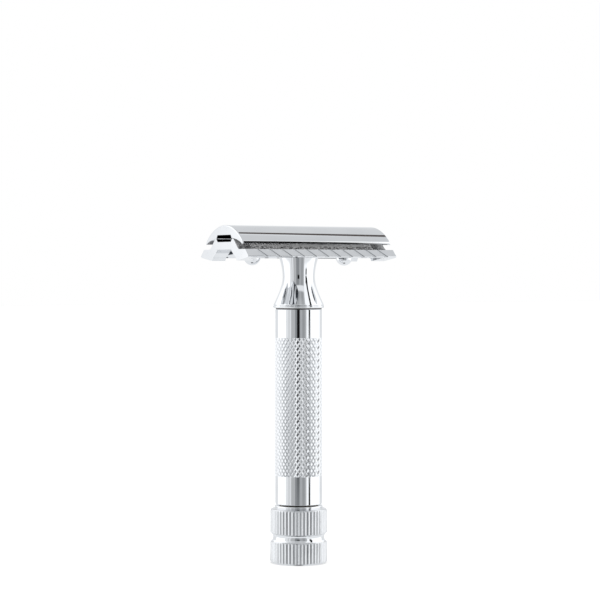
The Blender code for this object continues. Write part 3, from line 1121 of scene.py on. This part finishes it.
@dataclass
class Neck:
    """Turned neck between the tube and the plate."""

    finish: NeckChrome = field(default_factory=lambda: NeckChrome("neck_chrome_plate"))
    rim_radius: float = 6.46
    rim_bottom: float = 63.2
    rim_round: float = 0.34
    seam_bottom: float = 62.98
    seam_radius: float = 5.74
    lower: tuple[Flat, ...] = ((6.3, 63.93), (5.2, 66.3), (4.02, 68.7), (4.0, 70.9))
    upper: tuple[Flat, ...] = ((4.0, 70.9), (4.0, 73.0), (4.6, 75.2), (5.5, 77.37))
    seat_top: float = 77.66
    spigot_radius: float = 3.6
    spigot_top: float = 79.5
    socket_bore: float = 3.05
    shoulder: float = 68.2
    rod_bore: float = 2.05
    foot_radius: float = 4.6
    foot_bottom: float = 54.0
    foot_chamfer: float = 0.4
    bead_steps: int = 12
    lower_steps: int = 30
    upper_steps: int = 22
    sides: int = 128
    smooth_angle: float = 38.0

    def build(self) -> None:
        """Spin the whole outline: beaded rim, two flares, spigots and bores."""
        bead = arc((self.rim_radius - self.rim_round, self.rim_bottom + self.rim_round),
                   self.rim_round, -90, 60, self.bead_steps)
        outline = [(self.rod_bore, self.foot_bottom),
                   (self.foot_radius - self.foot_chamfer, self.foot_bottom),
                   (self.foot_radius, self.foot_bottom + self.foot_chamfer),
                   (self.foot_radius, self.seam_bottom), (self.seam_radius, self.seam_bottom),
                   (self.seam_radius, self.rim_bottom)]
        outline += bead + curve(self.lower, self.lower_steps) + curve(self.upper, self.upper_steps)[1:]
        outline += [(self.upper[-1][0], self.seat_top), (self.spigot_radius, self.seat_top),
                    (self.spigot_radius, self.spigot_top), (self.socket_bore, self.spigot_top),
                    (self.socket_bore, self.shoulder), (self.rod_bore, self.shoulder)]
        bench = Bench("neck_turning")
        bench.turn(outline, self.sides, closed=True)
        bench.finish(Body.HANDLE, Slot.HANDLE, self.finish, "neck_pillar", self.smooth_angle)


@dataclass
class Sleeve:
    """Handle tube with a diamond-knurled grip between two plain collars."""

    finish: RidgedChrome = field(default_factory=lambda: RidgedChrome(
        "sleeve_chrome_plate", worn=(0.76, 0.77, 0.785), satin=0.03, smooth_radius=5.89, ridge_radius=5.93))
    radius: float = 5.875
    bore: float = 4.9
    bottom: float = 14.6
    top: float = 62.95
    edge: float = 0.15
    grip_radius: float = 5.955
    grip_bottom: float = 21.7
    grip_top: float = 55.78
    cells_round: int = 36
    rows: int = 21
    spare_rows: int = 2
    groove: float = 0.113
    crown: float = 0.56
    phase: float = 2.04
    lift: float = -0.22
    run_out: float = 0.1
    sides: int = 216
    weld: float = 2e-3
    smooth_angle: float = 24.0

    def cell(self) -> Bench:
        """One diamond: a flat facet whose four flanks run down into the grooves.

        Returns:
            The bench with the diamond on it, bent to the grip's radius.
        """
        across = math.tau * self.grip_radius / self.cells_round / 2
        along = (self.grip_top - self.grip_bottom) / self.rows / 2
        to_flat = across * along / math.hypot(across, along)
        bench = Bench("grip_sleeve")
        bench.trace([(-across, self.groove, 0), (0, self.groove, -along),
                     (across, self.groove, 0), (0, self.groove, along)])
        bpy.ops.mesh.select_all(action="SELECT")
        bpy.ops.mesh.edge_face_add()
        bpy.ops.mesh.select_mode(type="FACE")
        bpy.ops.mesh.inset(thickness=to_flat * (1 - self.crown))
        bpy.ops.transform.translate(value=(0, -self.groove, 0))
        bench.modify("SIMPLE_DEFORM", deform_method="BEND", deform_axis="Z",
                     angle=math.tau / self.cells_round)
        bpy.ops.mesh.select_all(action="SELECT")
        bpy.ops.transform.translate(value=(0, -self.grip_radius, self.grip_bottom + self.lift))
        return bench

    def build(self) -> None:
        """Repeat the diamond round and along the grip, then draw the collars and the bore."""
        height = (self.grip_top - self.grip_bottom) / self.rows
        step = math.tau / self.cells_round
        bench = self.cell()
        bench.repeat(self.rows + self.spare_rows, (0, 0, height))
        bpy.ops.mesh.select_all(action="SELECT")
        bench.spin(self.cells_round - 1, math.tau - step, copies=True)
        bpy.ops.mesh.select_all(action="SELECT")
        bpy.ops.mesh.duplicate()
        bpy.ops.transform.rotate(value=step / 2, orient_axis="Z", center_override=(0, 0, 0))
        bpy.ops.transform.translate(value=(0, 0, height / 2))
        bpy.ops.mesh.select_all(action="SELECT")
        bpy.ops.transform.rotate(value=math.radians(-self.phase), orient_axis="Z",
                                 center_override=(0, 0, 0))
        bench.tidy(self.weld)
        for end, way in ((self.grip_bottom, -1), (self.grip_top, 1)):
            bpy.ops.mesh.select_all(action="SELECT")
            bpy.ops.mesh.bisect(plane_co=(0, 0, end), plane_no=(0, 0, way), clear_outer=True)
            self.collar(bench, end, way)
        bench.pick_edges(lambda a, b: all(
            abs(math.hypot(co.x, co.y) - self.bore) < CLOSE for co in (a, b)))
        bpy.ops.mesh.bridge_edge_loops()
        bench.tidy(CLOSE / 2)
        bench.finish(Body.HANDLE, Slot.HANDLE, self.finish, "handle_tube", self.smooth_angle,
                     flatten=True)

    def collar(self, bench: Bench, end: float, way: int) -> None:
        """Plain collar from the end of the grip to the end of the tube and into the bore.

        Args:
            bench: the sleeve.
            end: height of the grip's end.
            way: 1 for the upper collar, -1 for the lower one.
        """
        start = end + way * self.run_out
        last = self.top if way > 0 else self.bottom
        bpy.ops.mesh.select_all(action="DESELECT")
        bpy.ops.mesh.primitive_circle_add(vertices=self.sides, radius=self.radius,
                                          location=(0, 0, start))
        radius, height = self.radius, start
        for next_radius, next_height in ((self.radius, last - way * self.edge),
                                         (self.radius - self.edge, last), (self.bore, last)):
            bench.extrude((0, 0, next_height - height))
            bench.grow(next_radius / radius)
            radius, height = next_radius, next_height
        bench.pick_edges(lambda a, b: abs(a.z - b.z) < CLOSE and all(
            min(abs(co.z - start), abs(co.z - end)) < CLOSE for co in (a, b)))
        bpy.ops.mesh.bridge_edge_loops()


@dataclass
class Knob:
    """Turned knob with two rings of straight ridges and a smooth waist."""

    finish: RidgedChrome = field(default_factory=lambda: RidgedChrome("knob_chrome_plate"))
    radius: float = 7.05
    ridges: int = 46
    ridge_angle: float = -123.4
    ridge_depths: tuple[float, ...] = (0.0, 0.0, 0.055, 0.115, 0.165, 0.115, 0.055, 0.0, 0.0)
    base_radius: float = 6.6
    base_chamfer: float = 0.45
    waist_radius: float = 6.4
    waist_z: float = 6.35
    waist_round: float = 1.3
    waist_slope: float = 43.0
    waist_steps: int = 16
    slope_steps: int = 7
    shoulder: tuple[Flat, ...] = ((7.05, 12.85), (7.05, 13.3), (6.75, 13.5), (6.35, 13.57))
    shoulder_steps: int = 12
    bead_radius: float = 6.02
    bead_round: float = 0.3
    bead_start: float = -48.0
    bead_steps: int = 10
    top: float = 14.3
    pocket_radius: float = 4.5
    pocket_depth: float = 0.9
    bore: float = 2.05
    bore_depth: float = 10.0
    smooth_angle: float = 34.0

    def outline(self) -> list[Flat]:
        """Section of the knob before its ridges are cut, from the middle of its base up.

        Returns:
            Its points, as (radius, z).
        """
        fine = self.slope_steps
        rise = self.radius - self.base_radius
        base = [(self.base_radius + rise * i / fine, self.base_chamfer * i / fine)
                for i in range(fine + 1)]
        centre = (self.waist_radius + self.waist_round, self.waist_z)
        groove = arc(centre, self.waist_round, 180 + self.waist_slope, 180 - self.waist_slope,
                     self.waist_steps)
        depth = self.radius - groove[0][0]
        run = depth * math.tan(math.radians(self.waist_slope))
        lower = [(self.radius - depth * i / fine, groove[0][1] - run * (1 - i / fine))
                 for i in range(fine)]
        upper = [(r, 2 * self.waist_z - z) for r, z in reversed(lower)]
        shoulder = curve(self.shoulder, self.shoulder_steps)
        bead = arc((self.bead_radius - self.bead_round, self.top - self.bead_round), self.bead_round,
                   self.bead_start, 90, self.bead_steps)
        floor = self.top - self.pocket_depth
        inside = [(self.pocket_radius, self.top), (self.pocket_radius, floor), (self.bore, floor),
                  (self.bore, self.top - self.bore_depth), (0.0, self.top - self.bore_depth)]
        return [(0.0, 0.0)] + base + lower + groove + upper + shoulder + bead + inside

    def build(self) -> None:
        """Model one ridge's slice of the knob, cut its valley, and repeat it round."""
        outline = self.outline()
        slice_angle = math.tau / self.ridges
        start = math.radians(self.ridge_angle)
        steps = len(self.ridge_depths) - 1
        bench = Bench("knob_turning")
        bench.turn(outline, steps, slice_angle, start)
        for column, depth in enumerate(self.ridge_depths):
            limit = self.radius - depth
            angle = start + slice_angle * column / steps
            for radius, z in outline:
                if radius > limit + NEAR:
                    place = Vector((radius * math.cos(angle), radius * math.sin(angle), z))
                    bench.pick(lambda co, place=place: (co - place).length < CLOSE)
                    bench.grow(limit / radius)
        bpy.ops.mesh.select_all(action="SELECT")
        bench.spin(self.ridges - 1, math.tau - slice_angle, copies=True)
        bench.tidy(CLOSE / 2)
        bench.finish(Body.KNOB, Slot.KNOB, self.finish, "grip_knob", self.smooth_angle)


# --------------------------------------------------------------------------------------
# Inner pieces
# --------------------------------------------------------------------------------------

@dataclass
class Works:
    """Inner pieces whose CAD shape is right: they only get their finishes."""

    steel: TurnedMetal = field(default_factory=lambda: TurnedMetal("turned_steel_bar"))
    brass: TurnedMetal = field(default_factory=lambda: TurnedMetal(
        "turned_brass", (0.80, 0.62, 0.30), (0.58, 0.42, 0.18), 0.2, 7000.0))
    nylon: Nylon = field(default_factory=lambda: Nylon("nylon_washer"))

    def dress(self) -> None:
        """Give every inner piece its material."""
        wanted = {
            self.steel: ("cap_stud", "draw_rod", "socket_pin", "knob_washer"),
            self.brass: ("draw_socket", "lower_bush"),
            self.nylon: ("thrust_washer",),
        }
        for finish, names in wanted.items():
            material = finish.material()
            for name in names:
                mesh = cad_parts[name].data
                mesh.materials.clear()
                mesh.materials.append(material)
                LOG.info("%s dressed in %s", name, finish.name)


# --------------------------------------------------------------------------------------
# Studio
# --------------------------------------------------------------------------------------

@dataclass(frozen=True)
class Panel:
    """A part of the studio: degrees round to the camera's right, and degrees up.

    Its sides may lean to the right by so many degrees for each degree up.
    """

    left: float
    right: float
    low: float
    high: float
    colour: Colour
    side_blur: float = 1.5
    end_blur: float = 4.0
    lean: float = 0.0


def grey(level: float, tint: float = 0.02) -> Colour:
    """A cool grey of a given brightness."""
    return (level * (1 - tint), level, level * (1 + tint))


@dataclass
class Studio:
    """White tent with grey and black cards, a pale floor and soft light from all round."""

    axis: float = -120.0
    panels: tuple[Panel, ...] = (
        # straight down, the roof, and its seam at the back
        Panel(-181, 181, -91, -78, grey(0.2), 0.1, 4.0),
        Panel(-181, 181, 12, 91, grey(0.76), 0.1, 14.0),
        Panel(-181, 181, 54, 91, grey(0.72), 0.1, 4.0),
        Panel(147, 181, 50, 55.5, grey(0.86), 3.0, 1.5),
        Panel(145, 181, 49.7, 53.4, (0.09, 0.075, 0.07), 3.0, 0.6),
        # bright side sheets, and the dimmer back
        Panel(-148, -64, -25, 50, grey(1.35, 0.01), 3.0, 3.0),
        Panel(57.5, 148, -25, 50, grey(1.35, 0.01), 3.0, 3.0),
        Panel(-181, -122, -25, 14, grey(0.90), 3.0, 8.0),
        Panel(124, 181, -25, 14, grey(0.90), 3.0, 8.0),
        # grey bands round the camera, with a bright strip across them
        Panel(-64, -50, -44, 50, grey(0.93)),
        Panel(-50, -46, -44, 50, grey(0.60)),
        Panel(-46, -37, -44, 50, grey(0.90)),
        Panel(-37, -18, -44, 50, grey(0.55)),
        Panel(-18, 4.5, -44, 50, grey(0.30, 0.04)),
        Panel(4.5, 16, -44, 50, grey(0.47, 0.03)),
        Panel(16, 31, -44, 50, grey(0.38, 0.03)),
        Panel(31, 38, -44, 50, grey(0.52)),
        Panel(38, 57.5, -25, 50, grey(1.2)),
        Panel(-64, 38, 29, 40, grey(0.95), 3.0, 2.0),
        # black cards on the right, one with a gap, and the dark camera
        Panel(49.6, 58.4, -17, 22, grey(0.02), 0.6, 3.0),
        Panel(46, 62, -5.55, -1.78, grey(0.85), 1.0, 0.06),
        Panel(42, 53.0, 24, 47, grey(0.01), 0.8, 1.0, 0.5),
        Panel(50, 61.2, 2, 27, grey(0.01), 0.8, 2.0, 0.2),
        Panel(-8.0, 5.2, -5.5, 9, grey(0.010), 1.0, 2.0),
    )
    open_colour: Colour = grey(0.97)
    backdrop: Colour = (1.0, 1.0, 1.0)
    soft_light: Colour = (1.45, 1.45, 1.45)
    floor_colour: Colour = (0.93, 0.93, 0.925)
    floor_fleck: Colour = (0.9, 0.9, 0.9)
    floor_cells: float = 300.0
    floor_tint: float = 0.3
    floor_roughness: float = 0.9
    floor_gloss: float = 0.1
    floor_size: float = 8.0
    floor_drop: float = 0.00003
    lamp_place: Triple = (-0.3, -0.5, 1.2)
    lamp_size: float = 1.2
    lamp_power: float = 3.0
    camera_place: Triple = (-0.250, -0.433, 0.0709)
    camera_turn: float = -30.0
    camera_lens: float = 120.6
    camera_shift: Flat = (0.0022, -0.0383)
    camera_near: float = 0.01

    def light(self) -> None:
        """Paint the tent: what polished metal mirrors, what lights the rest, what is behind."""
        world = bpy.data.worlds.new("studio")
        bpy.context.scene.world = world
        world.use_nodes = True
        graph = Graph(world.node_tree)
        way = graph.node("ShaderNodeTexCoord").outputs["Generated"]
        axis = math.radians(self.axis)
        toward = (math.cos(axis), math.sin(axis), 0.0)
        aside = (-math.sin(axis), math.cos(axis), 0.0)
        ahead, right = (
            Value(graph, graph.node("ShaderNodeVectorMath", {"operation": "DOT_PRODUCT"},
                                    {0: way, 1: direction}).outputs["Value"])
            for direction in (toward, aside))
        round_by = right.maths("ARCTAN2", right, ahead) * math.degrees(1.0)
        up = graph.axes(way)[2]
        up = up.maths("ARCSINE", up) * math.degrees(1.0)
        colour: Any = self.open_colour
        for panel in self.panels:
            across = round_by - up * panel.lean if panel.lean else round_by
            mask = (across.between(panel.left, panel.right, panel.side_blur)
                    * up.between(panel.low, panel.high, panel.end_blur))
            colour = graph.blend(mask, colour, panel.colour)
        rays = graph.node("ShaderNodeLightPath").outputs
        colour = graph.blend(rays["Is Diffuse Ray"], colour, self.soft_light)
        colour = graph.blend(rays["Is Camera Ray"], colour, self.backdrop)
        background = graph.node("ShaderNodeBackground", None, {"Color": colour})
        graph.node("ShaderNodeOutputWorld", None, {"Surface": background.outputs[0]})

    def floor(self) -> None:
        """Lay the pale floor that the razor stands on."""
        Bench.clear()
        bpy.ops.mesh.primitive_plane_add(size=self.floor_size, location=(0, 0, -self.floor_drop))
        floor = bpy.context.active_object
        floor.name = "studio_floor"
        floor.visible_glossy = False
        material = bpy.data.materials.new("floor_paper")
        material.use_nodes = True
        graph = Graph(material.node_tree)
        place = graph.node("ShaderNodeTexCoord").outputs["Object"]
        grain = graph.noise(place, self.floor_cells)
        colour = graph.blend(grain * self.floor_tint, self.floor_colour, self.floor_fleck)
        shader = graph.node("ShaderNodeBsdfPrincipled", None, {
            "Base Color": colour, "Roughness": self.floor_roughness,
            "Specular IOR Level": self.floor_gloss})
        graph.node("ShaderNodeOutputMaterial", None, {"Surface": shader.outputs[0]})
        floor.data.materials.append(material)

    def key_light(self) -> None:
        """Hang a large soft lamp over the razor for the matt surfaces."""
        Bench.clear()
        bpy.ops.object.light_add(type="AREA", location=self.lamp_place)
        lamp = bpy.context.active_object
        lamp.name = "overhead_softbox"
        lamp.rotation_euler = (-Vector(self.lamp_place)).to_track_quat("-Z", "Y").to_euler()
        lamp.data.size = self.lamp_size
        lamp.data.energy = self.lamp_power
        lamp.visible_glossy = False

    def camera(self) -> None:
        """Stand the camera level with the head, thirty degrees to the left of the front."""
        data = bpy.data.cameras.new("studio_camera")
        camera = bpy.data.objects.new("studio_camera", data)
        bpy.context.scene.collection.objects.link(camera)
        camera.location = self.camera_place
        camera.rotation_euler = (math.pi / 2, 0.0, math.radians(self.camera_turn))
        data.lens = self.camera_lens
        data.shift_x, data.shift_y = self.camera_shift
        data.clip_start = self.camera_near
        bpy.context.scene.camera = camera

    def build(self) -> None:
        """Set up the light, floor, lamp and camera."""
        self.light()
        self.floor()
        self.key_light()
        self.camera()
        bpy.context.scene.view_settings.view_transform = "Standard"


def main() -> None:
    """Build the studio and every piece of the razor."""
    logging.basicConfig(level=logging.INFO, format="%(name)s: %(message)s")
    Studio().build()
    head = Head()
    head.build_cap()
    head.build_plate()
    Neck().build()
    Sleeve().build()
    Knob().build()
    Works().dress()
    Bench.clear()


if __name__ == "__main__":
    main()
